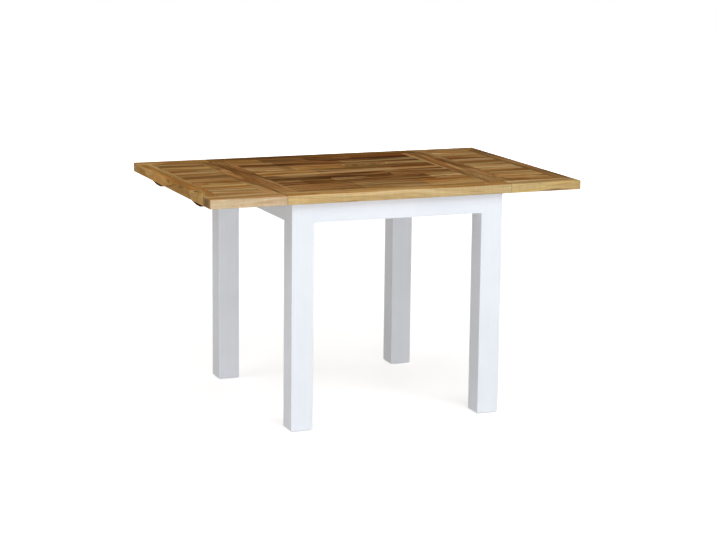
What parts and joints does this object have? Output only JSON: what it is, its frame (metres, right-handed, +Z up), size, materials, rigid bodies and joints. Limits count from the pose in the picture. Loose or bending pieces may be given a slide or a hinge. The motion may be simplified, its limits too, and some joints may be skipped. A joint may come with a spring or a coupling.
{
  "type": "extending dining table",
  "caption": "Square-leg painted dining table with a board-work wood top and an end leaf on sliding arms at each end, shown extended.",
  "frame": {"origin": "on the floor, under the centre of the extended top", "axes": "+X along the length of the table, from the left leaf to the right leaf; +Y from front to back; +Z up"},
  "size_m": [1.3, 0.855, 0.78],
  "materials": {
    "painted_wood": "mango wood, sprayed with white satin paint",
    "rail_wood": "sawn mango wood, unfinished",
    "zinc_steel": "zinc-plated steel",
    "glide_plastic": "moulded black plastic",
    "mango_golden": "golden mango wood, sanded and waxed",
    "mango_dark": "dark mango wood, sanded and waxed",
    "mango_arm": "planed mango wood, oiled",
    "beech": "turned beech dowel"
  },
  "bodies": {
    "table": {"leg_front_left": "painted_wood", "leg_front_right": "painted_wood", "leg_back_left": "painted_wood", "leg_back_right": "painted_wood", "apron_front": "painted_wood", "apron_back": "painted_wood", "apron_left": "painted_wood", "apron_right": "painted_wood", "cross_rail_left": "rail_wood", "cross_rail_right": "rail_wood", "corner_block_front_left": "rail_wood", "corner_block_front_right": "rail_wood", "corner_block_back_left": "rail_wood", "corner_block_back_right": "rail_wood", "hanger_bolts": "zinc_steel", "hanger_washers": "zinc_steel", "hanger_nuts": "zinc_steel", "block_screws": "zinc_steel", "top_brackets": "zinc_steel", "bracket_screws": "zinc_steel", "foot_glides": "glide_plastic", "top_front_board": "mango_golden", "top_left_end_board": "mango_golden", "top_right_end_board": "mango_golden", "top_row_3": "mango_golden", "top_row_4": "mango_golden", "top_row_7": "mango_golden", "top_back_board": "mango_dark", "top_row_1": "mango_dark", "top_row_2": "mango_dark", "top_row_5": "mango_dark", "top_row_6": "mango_dark"},
    "leaf_left": {"leaf_left_outer_board": "mango_golden", "leaf_left_inner_board": "mango_golden", "leaf_left_front_board": "mango_golden", "leaf_left_back_board": "mango_golden", "leaf_left_strips": "mango_golden", "leaf_left_arm_front": "mango_arm", "leaf_left_arm_back": "mango_arm", "leaf_left_arm_screws": "zinc_steel", "leaf_left_dowels": "beech"},
    "leaf_right": {"leaf_right_outer_board": "mango_golden", "leaf_right_inner_board": "mango_golden", "leaf_right_front_board": "mango_golden", "leaf_right_back_board": "mango_golden", "leaf_right_strips": "mango_golden", "leaf_right_arm_front": "mango_arm", "leaf_right_arm_back": "mango_arm", "leaf_right_arm_screws": "zinc_steel", "leaf_right_dowels": "beech"}
  },
  "joints": [
    {"name": "leaf_left_slide", "type": "slide", "parent": "table", "child": "leaf_left", "axis": [-1, 0, 0], "range_m": [0, 0.26]},
    {"name": "leaf_right_slide", "type": "slide", "parent": "table", "child": "leaf_right", "axis": [1, 0, 0], "range_m": [0, 0.26]}
  ]
}
